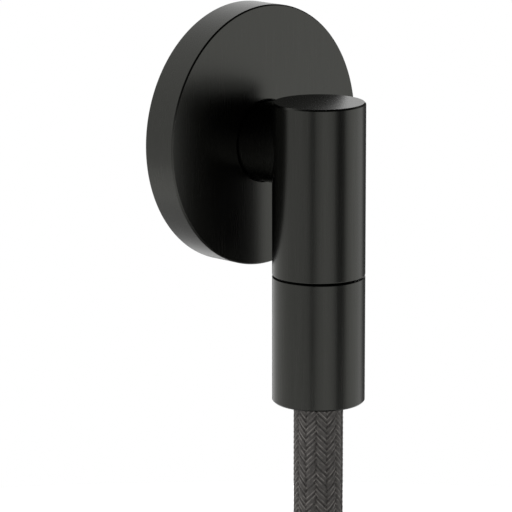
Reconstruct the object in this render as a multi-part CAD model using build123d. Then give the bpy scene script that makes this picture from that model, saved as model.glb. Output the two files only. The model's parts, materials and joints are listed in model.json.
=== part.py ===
from build123d import *

# Wall outlet for a shower hose: an elbow on a short neck comes out of a round wall
# rosette, and a sleeve nut of the elbow's own diameter holds a braided shower hose
# under it.  Millimetres, +Z up.  The origin is on the neck's axis in the plane of the
# finished wall, and the room is towards -Y.  The hose's spare length hangs below the
# outlet in a tied coil, with its hand-shower nut resting against the coil.

import os
from math import cos, pi, radians, sin, sqrt, tan

# ---------------------------------------------------------------- driving dimensions
# standard G 1/2 pipe thread, 1.814 pitch, as plain cylinders
thread_radius = 20.955 / 2
thread_minor_radius = 18.631 / 2

# rosette
rosette_radius = 35.0
rosette_depth = 10.0
rosette_rise = 1.5          # the rosette's centre sits this far above the neck's axis
rosette_plate = 1.6
rosette_rim = 2.4
rosette_slide = 6.0         # travel along the neck, to reach the grub screw
sleeve_wall = 1.7
sleeve_length = rosette_slide + 3.0

# elbow
stand_off = 29.4            # from the wall to the elbow's vertical axis
body_radius = 12.4
body_top = 12.8
body_bottom = -33.45
neck_radius = 10.8
neck_start = 2.6            # the neck's wall end, in front of the wall
water_bore = 6.2            # along the neck
drop_bore = 6.7             # down from the neck to the check valve
valve_bore = 7.5
outlet_bore = 9.65

# hose nut
nut_top = -33.95
nut_bottom = -68.1
nut_travel = 10.0

# hose
hose_radius = 6.55
stem_radius = 4.2
hose_end = -66.0            # where the hose leaves its crimped end, inside the nut
coil_radius = 70.0          # at the middle of the turns
turn_spacing = 13.4
coil_turns = 3
points_per_turn = 12

clearance = 0.03            # between parts of one body that fit together
running = 0.05              # between parts that turn or slide on each other

os.makedirs("parts", exist_ok=True)


# ---------------------------------------------------------------- helpers
def disc(radius, low, high):
    """Solid cylinder on the Z axis from low to high."""
    return Pos(0, 0, (low + high) / 2) * Cylinder(radius, high - low)


def ring(outer, inner, low, high):
    """Tube on the Z axis from low to high."""
    return disc(outer, low, high) - disc(inner, low - 1, high + 1)


def hexagon(across_flats, low, high):
    """Hexagonal prism on the Z axis."""
    outline = RegularPolygon(across_flats / sqrt(3), 6)
    return Pos(0, 0, low) * extrude(outline, high - low)


def torus(middle, section, height=0.0):
    """O-ring: section is the cord's radius, middle the ring's mean radius."""
    return Pos(0, 0, height) * Torus(middle, section)


def turned(profile):
    """Solid of revolution about Z from a closed list of (radius, height) points."""
    outline = make_face(Polyline([(r, 0, z) for r, z in profile], close=True))
    return revolve(outline, Axis.Z)


def in_front(shape):
    """Put a shape built along +Z onto the neck's axis, +Z turned towards the room."""
    return Rot(90, 0, 0) * shape


def under_elbow(shape):
    """Put a shape built along Z onto the elbow's vertical axis."""
    return Pos(0, -stand_off, 0) * shape


def save(node, shape):
    """Write one sub-part."""
    shape.label = node
    export_step(shape, "parts/" + node + ".step")


def circle_edges(shape, radius, height):
    """The circular edges of a given radius at a given height."""
    edges = shape.edges().filter_by(GeomType.CIRCLE)
    edges = edges.filter_by(lambda e: abs(e.radius - radius) < 1e-3)
    return edges.filter_by(lambda e: abs(e.center().Z - height) < 1e-3)


# ---------------------------------------------------------------- rosette on its ring
sleeve_bore = neck_radius + 0.4
grip_groove = neck_radius - 1.0
grip_depth = 8.5            # from the wall to the grip ring
grip_section = (sleeve_bore - grip_groove) / 2 - 0.035
gasket_groove = (33.1, 34.3, 1.0)


def wall_rosette():
    """Shallow cup, open to the wall, with a sleeve round its eccentric hole."""
    cup = disc(rosette_radius, 0, rosette_depth)
    cup = fillet(circle_edges(cup, rosette_radius, rosette_depth), 0.5)
    cup -= disc(rosette_radius - rosette_rim, -1, rosette_depth - rosette_plate)
    inner, outer, depth = gasket_groove
    cup -= ring(outer, inner, -1, depth)
    cup = Pos(0, rosette_rise, 0) * cup
    sleeve = disc(sleeve_bore + sleeve_wall, rosette_depth - sleeve_length, rosette_depth)
    return cup + sleeve - disc(sleeve_bore, -1, rosette_depth + 1)


def rosette_gasket():
    """Foam ring in the groove of the rosette's rim, level with the wall."""
    inner, outer, depth = gasket_groove
    gasket = ring(outer - clearance, inner + clearance, 0, depth)
    return Pos(0, rosette_rise, 0) * gasket


save("wall_rosette", in_front(wall_rosette()))
save("rosette_gasket", in_front(rosette_gasket()))
save("rosette_grip_ring", in_front(torus((sleeve_bore + grip_groove) / 2, grip_section, grip_depth)))


# ---------------------------------------------------------------- wall nipple
spigot_radius = 8.4
spigot_end = 19.0
spigot_groove = 7.2
o_ring_depths = (11.6, 15.6)
o_ring_groove_width = 1.8
nipple_bore = 4.6
nipple_thread = 12.0
tip_radius = 7.4
tip_length = 2.2
flange_radius = 10.7
flange_depth = 2.5
screw_depth = 5.0           # from the wall to the grub screw
screw_radius = 2.0
screw_groove = 7.4


def wall_nipple():
    """Threaded nipple for the wall fitting, with the spigot that carries the elbow."""
    nipple = disc(thread_radius, -nipple_thread, 0.5)
    nipple = chamfer(circle_edges(nipple, thread_radius, -nipple_thread), 0.8)
    nipple += disc(tip_radius, -nipple_thread - tip_length, 0)
    nipple += disc(flange_radius, 0, flange_depth)
    spigot = disc(spigot_radius, 0, spigot_end)
    spigot = chamfer(circle_edges(spigot, spigot_radius, spigot_end), 0.6)
    nipple += spigot
    for depth in o_ring_depths:
        half = o_ring_groove_width / 2
        nipple -= ring(spigot_radius + 1, spigot_groove, depth - half, depth + half)
    nipple -= ring(spigot_radius + 1, screw_groove, screw_depth - 2.1, screw_depth + 2.1)
    nipple -= disc(nipple_bore, -nipple_thread - tip_length - 1, spigot_end + 1)
    return nipple - hexagon(10, spigot_end - 7, spigot_end + 1)


def nipple_o_rings():
    """The two O-rings that seal the elbow on the spigot."""
    bore = spigot_radius + running
    section = (bore - spigot_groove) / 2 - clearance / 2
    rings = [torus((bore + spigot_groove) / 2, section, depth) for depth in o_ring_depths]
    return Compound(rings)


def grub_screw():
    """Cup-point screw from below, through the neck into the spigot's groove."""
    length = neck_radius - 0.3 - screw_groove - 0.05
    screw = disc(screw_radius - clearance, 0, length)
    screw = chamfer(circle_edges(screw, screw_radius - clearance, 0), 0.5)
    screw -= hexagon(2, length - 1.8, length + 1)
    return Pos(0, -(screw_groove + 0.05), screw_depth) * Rot(90, 0, 0) * screw


tip_seal = ring(9.1, tip_radius + clearance, -nipple_thread - 1.6, -nipple_thread)
save("wall_nipple", in_front(wall_nipple()))
save("nipple_tip_seal", in_front(tip_seal))
save("nipple_o_rings", in_front(nipple_o_rings()))
save("grub_screw", in_front(grub_screw()))


# ---------------------------------------------------------------- elbow
valve_top = -9.0
nipple_top = -21.2


def elbow_body():
    """Upright cylinder with the neck behind it, bored from below and from the wall."""
    upright = disc(body_radius, body_bottom, body_top)
    upright = fillet(circle_edges(upright, body_radius, body_top), 0.4)
    upright = chamfer(circle_edges(upright, body_radius, body_bottom), 0.2)
    neck = disc(neck_radius, neck_start, stand_off)
    neck -= ring(neck_radius + 1, grip_groove, grip_depth - 0.8, grip_depth + 0.8)
    body = under_elbow(upright) + in_front(neck)
    body -= in_front(disc(spigot_radius + running, 0, spigot_end + 0.3))
    body -= in_front(disc(water_bore, 0, stand_off))
    body -= under_elbow(disc(drop_bore, valve_top - 1, drop_bore))
    body -= under_elbow(disc(valve_bore, nipple_top - 1, valve_top))
    body -= under_elbow(disc(outlet_bore, body_bottom - 1, nipple_top))
    return body - Pos(0, -screw_depth, -neck_radius) * Cylinder(screw_radius, 8)


save("elbow_body", elbow_body())


# ---------------------------------------------------------------- outlet nipple
outlet_end = nut_top - nut_travel - 1.65     # the thread outlasts the nut's travel
outlet_groove = (-30.4, -28.4, 8.3)
outlet_passage = 6.0


def outlet_nipple():
    """Nipple screwed up into the elbow, with the hose thread below."""
    nipple = disc(outlet_bore - clearance, body_bottom, nipple_top)
    thread = disc(thread_radius, outlet_end, body_bottom)
    thread = chamfer(circle_edges(thread, thread_radius, outlet_end), 0.8)
    nipple += thread
    low, high, radius = outlet_groove
    nipple -= ring(outlet_bore + 1, radius, low, high)
    return nipple - disc(outlet_passage, outlet_end - 1, nipple_top + 1)


o_ring_section = (outlet_bore - outlet_groove[2]) / 2 - 0.02
outlet_o_ring = torus((outlet_bore + outlet_groove[2]) / 2, o_ring_section, -29.4)
save("outlet_nipple", under_elbow(outlet_nipple()))
save("outlet_o_ring", under_elbow(outlet_o_ring))


# ---------------------------------------------------------------- check valve
cartridge_radius = valve_bore - clearance
cartridge_wall = 1.0
seat_bottom = valve_top - 1.4
seat_hole = 4.2
guide_top = -19.0
head_bottom = -13.2
stem = 1.2


def check_valve_housing():
    """Cartridge with a seat at its top and a groove for its O-ring."""
    housing = ring(cartridge_radius, seat_hole, nipple_top, valve_top)
    housing -= disc(cartridge_radius - cartridge_wall, nipple_top - 1, seat_bottom)
    return housing - ring(valve_bore, 6.9, -10.3, -9.5)


def check_valve_poppet():
    """Mushroom that closes the seat from below, on a stem through the guide."""
    poppet = disc(5.0, head_bottom, seat_bottom - 1.2)
    poppet += disc(2.0, seat_bottom - 1.2, seat_bottom + 0.6)
    return poppet + disc(stem, guide_top - 2.4, head_bottom)


def check_valve_guide():
    """Hub on three arms that guides the stem and carries the spring."""
    inner = cartridge_radius - cartridge_wall - clearance
    guide = ring(inner, inner - 1.0, nipple_top, guide_top)
    guide += disc(2.7, nipple_top, guide_top)
    for turn in (0, 120, 240):
        guide += Rot(0, 0, turn) * Pos(inner / 2 - 0.3, 0, guide_top - 0.9) * Box(inner - 0.8, 1.2, 1.8)
    return guide - disc(stem + running, nipple_top - 1, guide_top + 1)


def check_valve_spring():
    """Compression spring between the guide's hub and the poppet's head."""
    wire = 0.25
    length = head_bottom - guide_top - 2 * wire - 0.04
    path = Pos(0, 0, guide_top + wire + 0.02) * Helix(length / 4, length, 1.9)
    start = Plane(origin=path @ 0, z_dir=path % 0)
    return sweep(start * Circle(wire), path=path, is_frenet=True)


poppet_seal = ring(5.3, 2.0 + clearance, seat_bottom - 1.2, seat_bottom)
save("check_valve_housing", under_elbow(check_valve_housing()))
save("check_valve_o_ring", under_elbow(torus(7.19, 0.28, -9.9)))
save("check_valve_poppet", under_elbow(check_valve_poppet()))
save("poppet_seal", under_elbow(poppet_seal))
save("check_valve_spring", under_elbow(check_valve_spring()))
save("check_valve_guide", under_elbow(check_valve_guide()))


# ---------------------------------------------------------------- hose ends
# Both ends of the hose are crimped alike.  An end is built on the Z axis with the
# hose below it: height 0 is where the plain hose starts.
crimp_length = 15.0
flange_low = 16.6
flange_high = 18.4
washer_high = 20.4
slip_low = 15.4
washer_radius = 9.2
slip_inner = 8.2
shoulder_bore = 8.6


def hose_insert(flange):
    """Barbed stem inside the hose, with the flange that the nut pulls up."""
    profile = [(3.2, 1.5), (3.7, 1.5)]
    for step in range(4):
        low = 2.0 + 3.0 * step
        profile += [(stem_radius - 0.5, low), (stem_radius - 0.05, low + 2.4)]
    profile += [(stem_radius - 0.5, 14.0), (stem_radius - 0.5, flange_low)]
    profile += [(flange, flange_low), (flange, flange_high), (3.2, flange_high)]
    return turned(profile)


def crimp_ferrule():
    """Sleeve pressed over the hose end, with three crimp grooves."""
    profile = [(hose_radius + clearance, 0), (7.6, 0), (7.8, 0.3)]
    for step in range(3):
        low = 3.2 + 3.6 * step
        profile += [(7.8, low), (7.4, low + 0.5), (7.4, low + 1.3), (7.8, low + 1.8)]
    profile += [(7.8, crimp_length - 0.3), (7.5, crimp_length), (hose_radius + clearance, crimp_length)]
    return turned(profile)


crimped_hose = ring(hose_radius, stem_radius, 0, flange_low)
slip_ring = ring(washer_radius, slip_inner, slip_low, flange_low)
sealing_washer = ring(washer_radius, 5.0, flange_high, washer_high)


def hose_nut():
    """Sleeve nut of the elbow's own diameter, over the whole crimped end."""
    nut = ring(body_radius, shoulder_bore, nut_bottom, nut_top)
    nut = fillet(circle_edges(nut, body_radius, nut_bottom), 0.7)
    nut = chamfer(circle_edges(nut, body_radius, nut_top), 0.2)
    return nut - disc(thread_radius + 0.06, hose_end + slip_low, nut_top + 1)


upper_end = Pos(0, -stand_off, hose_end)
save("hose_washer", upper_end * sealing_washer)
save("hose_insert", upper_end * hose_insert(9.4))
save("nut_slip_ring", upper_end * slip_ring)
save("crimp_ferrule", upper_end * crimp_ferrule())
save("crimped_hose_end", upper_end * crimped_hose)
save("hose_nut", under_elbow(hose_nut()))


# ---------------------------------------------------------------- hose route
# The hose drops straight from the nut, swings over to the coil's right-hand side and
# winds clockwise, seen from the room.  Point 0 of the coil is 60 degrees above +X.
step_angle = 360 / points_per_turn
point_radius = coil_radius / cos(radians(step_angle / 2))
first_turn_y = -20.0
drop = Vector(0, -stand_off, hose_end - 46)
swing = Vector(12.9, -24.5, -160.3)
join = Vector(37.3, first_turn_y, -202.6)
coil_x = join.X - point_radius * cos(radians(60))
coil_z = join.Z - point_radius * sin(radians(60))
side_step = {9: 0.15, 10: 0.5, 11: 0.85}    # how far a turn has moved to the next one
tail_y = {36: -60.6, 37: -64.6, 38: -66.2}  # the end lies in front of the coil


def coil_point(index):
    """Point of the route on the coil, counted from where the hose joins it."""
    turn, place = divmod(index, points_per_turn)
    angle = radians(60 - step_angle * index)
    y = first_turn_y - turn_spacing * (turn + side_step.get(place, 0))
    y = tail_y.get(index, y)
    return Vector(coil_x + point_radius * cos(angle), y, coil_z + point_radius * sin(angle))


def hose_run(name, points):
    """Tube of straight runs and arcs; each arc is as large as its two runs allow."""
    radii = []
    for before, corner, after in zip(points, points[1:], points[2:]):
        half_turn = radians((corner - before).get_angle(after - corner)) / 2
        shorter = min((corner - before).length, (after - corner).length)
        radii.append(0.45 * shorter / tan(half_turn))
    path = FilletPolyline(*points, radius=radii)
    start = Plane(origin=path @ 0, z_dir=path % 0)
    tube = sweep(start * Circle(hose_radius), path=path)
    section = start * Circle(hose_radius)
    print(name, "length", round(path.length, 1), "radii", [round(r) for r in radii])
    print("   volume", round(tube.volume), "section x length", round(section.area * path.length))
    return tube, path.length


outlet_point = Vector(0, -stand_off, hose_end)
into_coil = join + (coil_point(1) - join) * 0.7
out_of_coil = coil_point(32) + (coil_point(33) - coil_point(32)) * 0.15
hose_tube, tube_length = hose_run("hose_tube", [outlet_point, drop, swing, join, into_coil])
hose_tail, tail_length = hose_run("hose_tail", [out_of_coil] + [coil_point(i) for i in range(33, 39)])
coiled = 32 * step_angle / 360 * 2 * pi * coil_radius
print("hose length", round(tube_length + coiled + tail_length), "of which coiled", round(coiled))

coil_depth = (coil_turns - 1) * turn_spacing + 2 * hose_radius
coil_middle_y = first_turn_y - (coil_turns - 1) * turn_spacing / 2


def coil_section(grow):
    """Outline of the coil's section, grown by a margin, at the coil's right-hand side."""
    outline = RectangleRounded(2 * (hose_radius + grow), coil_depth + 2 * grow, hose_radius + grow - 0.05)
    return Pos(coil_radius, 0) * outline


coil_place = Pos(coil_x, coil_middle_y, coil_z) * Rot(90, 0, 0)
coil_profile = Rot(90, 0, 0) * coil_section(0)
hose_coil = coil_place * revolve(coil_profile, Axis.Z)

save("hose_tube", hose_tube)
save("hose_coil", hose_coil)
save("hose_tail", hose_tail)


# ---------------------------------------------------------------- coil ties
tie_width = 12.0
tie_wall = 1.2


def coil_tie(angle, front):
    """Strap loop round the coil's section; front is how far its front is let out."""
    depth = coil_depth + 0.8 + front
    inner = RectangleRounded(2 * hose_radius + 1.4, depth, hose_radius)
    outer = RectangleRounded(2 * (hose_radius + tie_wall) + 1.4, depth + 2 * tie_wall, hose_radius + tie_wall)
    loop = extrude(outer - inner, tie_width / 2, both=True)
    # the section's plane is upright and radial, so the strap runs along the hose
    upright = Pos(coil_radius, 0, front / 2) * Rot(90, 0, 0) * loop
    return Pos(coil_x, coil_middle_y, coil_z) * Rot(90, 0, 0) * Rot(0, 0, angle) * upright


save("coil_tie_low", coil_tie(-95, 0))


# ---------------------------------------------------------------- far end of the hose
far_nut_small = 9.9
far_nut_large = 12.2
far_nut_low = 5.0
far_nut_high = 33.0
far_thread_low = 20.9


def hand_shower_nut():
    """Conical nut: relief bore round the flange, then the thread up to the mouth."""
    profile = [(shoulder_bore, far_nut_low), (far_nut_small, far_nut_low), (far_nut_large, far_nut_high - 6)]
    profile += [(far_nut_large, far_nut_high), (thread_minor_radius, far_nut_high)]
    profile += [(thread_minor_radius, far_thread_low), (9.8, far_thread_low)]
    profile += [(9.8, slip_low), (shoulder_bore, slip_low)]
    return turned(profile)


last = coil_point(38)
heading = (last - coil_point(37)).normalized()
far_place = Plane(origin=last, z_dir=heading).location
print("far end at", last, "heading", heading)
print("far thread mouth", last + heading * far_nut_high)

save("hand_shower_nut", far_place * hand_shower_nut())
save("hand_shower_washer", far_place * sealing_washer)
save("hand_shower_insert", far_place * hose_insert(9.2))
save("hand_shower_slip_ring", far_place * slip_ring)
save("hand_shower_ferrule", far_place * crimp_ferrule())
save("hand_shower_hose_end", far_place * crimped_hose)

# the side tie also holds the hose's last stretch against the front of the coil
tail_front = -tail_y[37] + hose_radius - (-coil_middle_y + coil_depth / 2)
save("coil_tie_side", coil_tie(30, tail_front))
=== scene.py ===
# %% [markdown]
# # A wall outlet for a shower hose
#
# A round rosette lies on the wall. A short neck comes out of it and ends in an upright
# cylinder, and a sleeve nut of the same diameter holds a braided hose under it. The
# whole outlet is brushed and then coated almost black, so it is a study in reflections:
# very little colour, and everything told by soft streaks of light along the metal.
# The engineering model is loaded first and stays as it is. What follows builds what the
# eye meets: turned shells, cut threads, the woven hose, and a finish for every piece.

import json
import math

import bmesh
import bpy
import numpy as np
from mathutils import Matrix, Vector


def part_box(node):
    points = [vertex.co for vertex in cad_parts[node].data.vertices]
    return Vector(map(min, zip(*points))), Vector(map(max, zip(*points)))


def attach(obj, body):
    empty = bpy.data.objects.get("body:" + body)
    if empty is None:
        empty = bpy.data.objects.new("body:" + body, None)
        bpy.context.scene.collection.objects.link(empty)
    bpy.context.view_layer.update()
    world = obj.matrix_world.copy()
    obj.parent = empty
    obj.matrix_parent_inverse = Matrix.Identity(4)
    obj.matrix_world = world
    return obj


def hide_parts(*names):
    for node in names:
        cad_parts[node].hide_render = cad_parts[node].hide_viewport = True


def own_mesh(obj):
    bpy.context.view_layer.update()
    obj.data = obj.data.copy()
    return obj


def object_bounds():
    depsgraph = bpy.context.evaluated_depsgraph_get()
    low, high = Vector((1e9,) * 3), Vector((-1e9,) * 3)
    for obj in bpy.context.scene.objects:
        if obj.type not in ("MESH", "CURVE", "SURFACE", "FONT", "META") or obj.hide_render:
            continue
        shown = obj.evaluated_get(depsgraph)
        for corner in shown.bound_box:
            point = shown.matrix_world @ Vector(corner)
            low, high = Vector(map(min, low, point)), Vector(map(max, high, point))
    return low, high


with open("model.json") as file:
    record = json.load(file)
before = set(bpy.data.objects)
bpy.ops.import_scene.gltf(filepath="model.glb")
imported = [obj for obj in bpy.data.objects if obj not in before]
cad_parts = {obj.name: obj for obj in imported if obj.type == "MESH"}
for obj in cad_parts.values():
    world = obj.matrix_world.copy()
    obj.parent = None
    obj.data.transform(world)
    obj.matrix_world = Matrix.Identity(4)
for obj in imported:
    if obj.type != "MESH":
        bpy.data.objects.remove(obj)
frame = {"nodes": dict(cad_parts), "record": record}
cad_box = [list(corner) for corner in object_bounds()]
MM = 0.001
print("nodes:", len(frame["nodes"]))

# %% [markdown]
# ## The camera
#
# A long lens far away draws small objects with calm, nearly parallel edges, which is how
# fittings are shown in a catalogue. The camera looks from the left front and a little
# from above. Its place is worked out from two angles, a distance and a small slide in
# its own picture plane, because those are the numbers that a person would adjust.

# %% Place the camera
VIEW_AZIMUTH = math.radians(-45.5)      # 0 looks straight at the wall
VIEW_ELEVATION = math.radians(12.6)
VIEW_ROLL = math.radians(-0.107)
VIEW_DISTANCE = 0.8764
VIEW_TARGET = np.array([0.0, -0.025, -0.0185])
VIEW_SLIDE = -0.01347                   # to the right, in the picture plane
VIEW_LIFT = -0.01053                    # upwards, in the picture plane
LENS_MM = 232.3                         # on a 36 mm wide sensor


def camera_axes():
    """Right, up and back of the camera, from its azimuth, elevation and roll."""
    a, e = VIEW_AZIMUTH, VIEW_ELEVATION
    back = np.array([math.sin(a) * math.cos(e), -math.cos(a) * math.cos(e), math.sin(e)])
    right = np.array([math.cos(a), math.sin(a), 0.0])
    up = np.cross(back, right)
    cos_roll, sin_roll = math.cos(VIEW_ROLL), math.sin(VIEW_ROLL)
    return cos_roll * right + sin_roll * up, cos_roll * up - sin_roll * right, back


def new_object(name, data):
    """A mesh, curve or camera put in the scene under a name."""
    thing = bpy.data.objects.new(name, data)
    bpy.context.scene.collection.objects.link(thing)
    return thing


def add_camera():
    right, up, back = camera_axes()
    place = VIEW_TARGET + back * VIEW_DISTANCE + right * VIEW_SLIDE + up * VIEW_LIFT
    data = bpy.data.cameras.new("camera")
    data.sensor_width = 36
    data.lens = LENS_MM
    data.clip_start = 0.01
    camera = new_object("camera", data)
    matrix = np.eye(4)
    matrix[:3, 0], matrix[:3, 1], matrix[:3, 2], matrix[:3, 3] = right, up, back, place
    camera.matrix_world = matrix.T.tolist()
    bpy.context.scene.camera = camera
    print("camera at", np.round(place, 4))


add_camera()

# %% [markdown]
# ## Surfaces as arrays
#
# Nearly every piece here was turned on a lathe. A turned piece is a profile, a closed
# line of radius and height, carried round an axis. Worked out as one array with a row
# per profile point and a column per angle, it needs no modelling by hand, and its edges
# get true roundings, because the arcs are part of the profile. The helpers below turn
# an array of points into a mesh, round a profile's corners, and carry it round.

# %% Mesh helpers
TURN = 2 * math.pi
SHARP_ANGLE = math.radians(28)      # shading is smooth over any edge flatter than this


def length_along(points):
    """Length from the first of a line's points to each of them."""
    return np.append(0, np.linalg.norm(np.diff(points, axis=0), axis=1).cumsum())


def mesh_from_grid(name, points, close_rows=True):
    """Mesh of a grid of points, rows x columns x 3. Columns always close; rows may."""
    rows, columns = points.shape[:2]
    index = np.arange(rows * columns).reshape(rows, columns)
    if close_rows:
        index = np.vstack([index, index[:1]])
    index = np.hstack([index, index[:, :1]])
    quads = np.stack([index[:-1, :-1], index[:-1, 1:], index[1:, 1:], index[1:, :-1]], -1)
    return mesh_from_quads(name, points.reshape(-1, 3), quads.reshape(-1, 4))


def mesh_from_quads(name, points, quads):
    """Mesh of points and four-cornered faces, both as arrays."""
    mesh = bpy.data.meshes.new(name)
    mesh.vertices.add(len(points))
    mesh.vertices.foreach_set("co", np.ascontiguousarray(points, np.float32).ravel())
    mesh.loops.add(quads.size)
    mesh.loops.foreach_set("vertex_index", np.ascontiguousarray(quads, np.int32).ravel())
    mesh.polygons.add(len(quads))
    mesh.polygons.foreach_set("loop_start", np.arange(0, quads.size, 4, dtype=np.int32))
    mesh.update(calc_edges=True)
    mesh.validate()
    return mesh


def add_piece(mesh, body, node):
    """Put a mesh in the scene, riding on a body and standing for a node."""
    close_and_face_out(mesh)
    mesh.shade_smooth()
    mesh.set_sharp_from_angle(angle=SHARP_ANGLE)
    piece = new_object(mesh.name, mesh)
    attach(piece, body)
    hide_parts(node)
    print(mesh.name, len(mesh.polygons), "faces")
    return piece


def close_and_face_out(mesh):
    """Merge points that fall together, as at a pole, and turn all faces outwards."""
    work = bmesh.new()
    work.from_mesh(mesh)
    bmesh.ops.remove_doubles(work, verts=work.verts, dist=1e-6)
    bmesh.ops.recalc_face_normals(work, faces=work.faces)
    work.to_mesh(mesh)
    work.free()


def cut_away(mesh, tool):
    """The mesh with the closed shape of another mesh cut out of it."""
    close_and_face_out(mesh)
    close_and_face_out(tool)
    body, cutter = new_object("being cut", mesh), new_object("cutter", tool)
    modifier = body.modifiers.new("cut", "BOOLEAN")
    modifier.operation = "DIFFERENCE"
    modifier.solver = "EXACT"
    modifier.object = cutter
    evaluated = body.evaluated_get(bpy.context.evaluated_depsgraph_get())
    result = bpy.data.meshes.new_from_object(evaluated)
    result.name = mesh.name + "_cut"
    bpy.data.objects.remove(body)
    bpy.data.objects.remove(cutter)
    return result


def lay_pattern(mesh, u, v):
    """A UV map from one value of u and of v per vertex."""
    corners = np.zeros(len(mesh.loops), np.int32)
    mesh.loops.foreach_get("vertex_index", corners)
    pairs = np.stack([u.ravel()[corners], v.ravel()[corners]], -1).astype(np.float32)
    layer = mesh.uv_layers.new(name="pattern")
    layer.data.foreach_set("uv", pairs.ravel())


def capped_tube(name, grid, along, across):
    """Mesh of rows of closed sections, with a fan over each end and a UV map."""
    rows, columns = grid.shape[:2]
    index = np.arange(rows * columns).reshape(rows, columns)
    following = np.roll(index, -1, 1)
    quads = np.stack([index[:-1], following[:-1], following[1:], index[1:]], -1).reshape(-1, 4)
    points = np.vstack([grid.reshape(-1, 3), grid[0].mean(0), grid[-1].mean(0)])
    first, last = rows * columns, rows * columns + 1
    fans = [(first, b, a) for a, b in zip(index[0], following[0])]
    fans += [(last, a, b) for a, b in zip(index[-1], following[-1])]
    mesh = bpy.data.meshes.new(name)
    mesh.from_pydata(points.tolist(), [], quads.tolist() + fans)
    u = np.append(np.repeat(along, columns), [along[0], along[-1]])
    v = np.append(np.tile(across, rows), [0, 0])
    lay_pattern(mesh, u, v)
    return mesh


# %% Profiles
ARC_STEPS = 5
HOLD = 0.12     # a straight stretch gets a point this far, in mm, from each end


def profile_of(corners):
    """Profile in mm from corners (radius, height, rounding), going round in order.

    A rounding puts an arc of that radius in place of its corner. The arc's points are
    centre + cos and sin of evenly spaced angles between the two touching points. Long
    stretches get a point near each end, which keeps the flat faces' shading flat.
    """
    corners = np.array(corners, float)
    line = []
    for before, here, after in zip(np.roll(corners, 1, 0), corners, np.roll(corners, -1, 0)):
        line.append(rounded_corner(before[:2], here[:2], after[:2], here[2]))
    points = []
    for part, following in zip(line, line[1:] + line[:1]):
        points.append(part)
        start, end = part[-1], following[0]
        length = np.linalg.norm(end - start)
        if length > 4 * HOLD:
            step = (end - start) * HOLD / length
            points.append(np.array([start + step, end - step]))
    return np.vstack(points)


def rounded_corner(before, here, after, radius):
    """Points of an arc of this radius between two straight runs, or the bare corner."""
    if radius == 0:
        return here[None]
    one = (before - here) / np.linalg.norm(before - here)
    two = (after - here) / np.linalg.norm(after - here)
    half = math.acos(float(np.clip(one @ two, -1, 1))) / 2
    reach = radius / math.tan(half)
    share = np.linspace(0, 1, ARC_STEPS + 1)[:, None]
    middle = here + (one + two) / np.linalg.norm(one + two) * radius / math.sin(half)
    start, end = here + one * reach - middle, here + two * reach - middle
    opening = math.pi - 2 * half
    from_start = np.sin((1 - share) * opening) / math.sin(opening)
    from_end = np.sin(share * opening) / math.sin(opening)
    return middle + from_start * start + from_end * end


def turned(profile, segments, rise=0.0, radius_of=None):
    """Grid in mm of a profile carried round Z: (r cos t, r sin t + rise, z).

    rise may differ from point to point, which makes eccentric rings. radius_of(r, z, t)
    may change the radius, as for a thread or a knurl.
    """
    angle = np.linspace(0, TURN, segments, endpoint=False)[None, :]
    radius, height = profile[:, :1], profile[:, 1:2]
    r = np.broadcast_to(radius, (len(profile), segments))
    if radius_of is not None:
        r = radius_of(radius, height, angle)
    rise = np.broadcast_to(np.asarray(rise, float).reshape(-1, 1), (len(profile), 1))
    x, y = r * np.cos(angle), r * np.sin(angle) + rise
    return np.stack([x, y, np.broadcast_to(height, r.shape)], -1)


def from_wall(grid):
    """A grid built along Z, in mm, laid on the neck's axis with Z towards the room."""
    return np.stack([grid[..., 0], -grid[..., 2], grid[..., 1]], -1) * MM


# %% Sizes read from the engineering model
def span(node, axis):
    """Lowest and highest coordinate of a node along one axis, in mm."""
    low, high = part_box(node)
    return low[axis] / MM, high[axis] / MM


def radius_of_node(node):
    low, high = span(node, 0)
    return (high - low) / 2


NUT_BOTTOM, NUT_TOP = span("hose_nut", 2)
BODY_BOTTOM, BODY_TOP = span("elbow_body", 2)
BODY_RADIUS = radius_of_node("hose_nut")
STAND_OFF = -sum(span("hose_nut", 1)) / 2
ROSETTE_RADIUS = radius_of_node("wall_rosette")
ROSETTE_RISE = sum(span("wall_rosette", 2)) / 2
ROSETTE_DEPTH = -span("wall_rosette", 1)[0]
THREAD_RADIUS = radius_of_node("outlet_nipple")
THREAD_MINOR = 18.631 / 2
THREAD_PITCH = 1.814
NECK_RADIUS = 10.8
print("body radius", BODY_RADIUS, "stands off", STAND_OFF, "rosette", ROSETTE_RADIUS, ROSETTE_RISE)


def under_elbow(grid):
    """A grid built along Z, in mm, put on the elbow's upright axis."""
    return (grid + np.array([0, -STAND_OFF, 0])) * MM


# %% [markdown]
# ## The hose's line
#
# A hose is one length of something flexible, so its line comes before its surface. It
# drops straight out of the nut, because it carries its own weight, swings over and winds
# three times round into a hanging coil, which is how a fitter leaves the spare length.
# One smooth spline with the route's points as its control points gives that line, and
# everything on the hose is later hung on points read back from this spline.

# %% Route of the hose
HOSE_RADIUS = 6.55
HOSE_END = -66.0                # where the hose leaves its crimped end, in the nut
COIL_RADIUS = 70.0
TURN_SPACING = 13.4
POINTS_PER_TURN = 12
STEP = TURN / POINTS_PER_TURN
FIRST_ANGLE = math.radians(60)
POINT_RADIUS = COIL_RADIUS / math.cos(STEP / 2)
FIRST_TURN_Y = -20.0
OUTLET = np.array([0, -STAND_OFF, HOSE_END])
STEADY = np.array([0, -STAND_OFF, HOSE_END - 34])   # keeps the hanging stretch straight
DROP = np.array([0, -STAND_OFF, HOSE_END - 46])
SWING = np.array([12.9, -24.5, -160.3])
JOIN = np.array([37.3, FIRST_TURN_Y, -202.6])
COIL_CENTRE = JOIN - POINT_RADIUS * np.array([math.cos(FIRST_ANGLE), 0, math.sin(FIRST_ANGLE)])
SIDE_STEP = {9: 0.15, 10: 0.5, 11: 0.85}     # how far a turn has moved to the next one
TAIL_Y = {36: -60.6, 37: -64.6, 38: -66.2}   # the end lies in front of the coil
LAST_POINT = 38


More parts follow.
